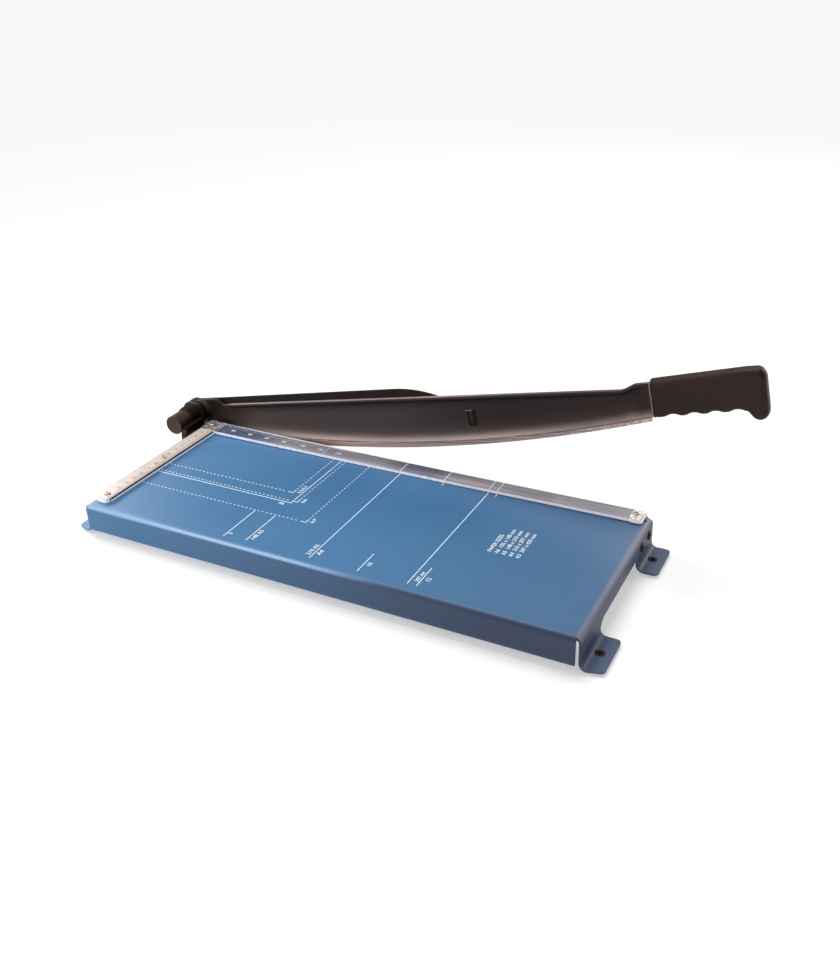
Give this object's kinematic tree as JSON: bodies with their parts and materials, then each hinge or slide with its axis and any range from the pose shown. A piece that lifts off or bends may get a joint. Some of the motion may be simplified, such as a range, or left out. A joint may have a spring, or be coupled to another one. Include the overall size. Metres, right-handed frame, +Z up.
{
  "type": "paper cutter",
  "caption": "Lever paper cutter: folded steel table with feet, stop ruler and clear guard, and a long hinged arm with a curved blade and a moulded grip.",
  "frame": {"origin": "centre of the four foot holes, on the desk", "axes": "+X along the cut from the pivot towards the grip, +Y from the front towards the cutting edge, +Z up"},
  "size_m": [0.5624, 0.1961, 0.1714],
  "materials": {
    "table_paint": "satin blue enamel",
    "black_paint": "semi-gloss black enamel",
    "black_steel": "blackened",
    "blade_steel": "ground along its length",
    "fastener_steel": "zinc plated",
    "clear_plastic": "clear, polished edges",
    "ruler_plastic": "satin cream with dark graduations",
    "grip_plastic": "satin black-brown",
    "cap_plastic": "satin black-brown",
    "rubber": "dull dark brown",
    "bronze": "plain bearing bronze"
  },
  "bodies": {
    "base": {"table": "table_paint", "rubber_feet": "rubber", "stop_ruler": "ruler_plastic", "ruler_screws": "fastener_steel", "guard_strip": "clear_plastic", "guard_spacers": "clear_plastic", "guard_screws": "fastener_steel", "guide_nuts": "fastener_steel", "fixed_blade": "blade_steel", "fixed_blade_screws": "fastener_steel", "fixed_blade_nuts": "fastener_steel", "end_angle": "fastener_steel", "end_bolts": "black_steel", "end_nuts": "fastener_steel", "hinge_bracket": "black_paint", "hinge_bolts": "black_steel", "hinge_nuts": "fastener_steel", "pivot_bush": "bronze", "thrust_washer": "bronze", "pivot_cap": "cap_plastic"},
    "arm": {"pivot_bolt": "fastener_steel", "pivot_washer": "fastener_steel", "disc_springs": "fastener_steel", "pivot_nut": "fastener_steel", "arm": "black_paint", "arm_stiffener": "black_paint", "stiffener_rivets": "black_steel", "arm_blade": "blade_steel", "blade_screws": "fastener_steel", "handle_grip": "grip_plastic", "handle_screw": "black_steel"}
  },
  "joints": [
    {"name": "arm_hinge", "type": "hinge", "parent": "base", "child": "arm", "pos_m": [-0.2445, 0.0898, 0.041], "axis": [0, -1, 0], "range_deg": [-11, 60]}
  ]
}
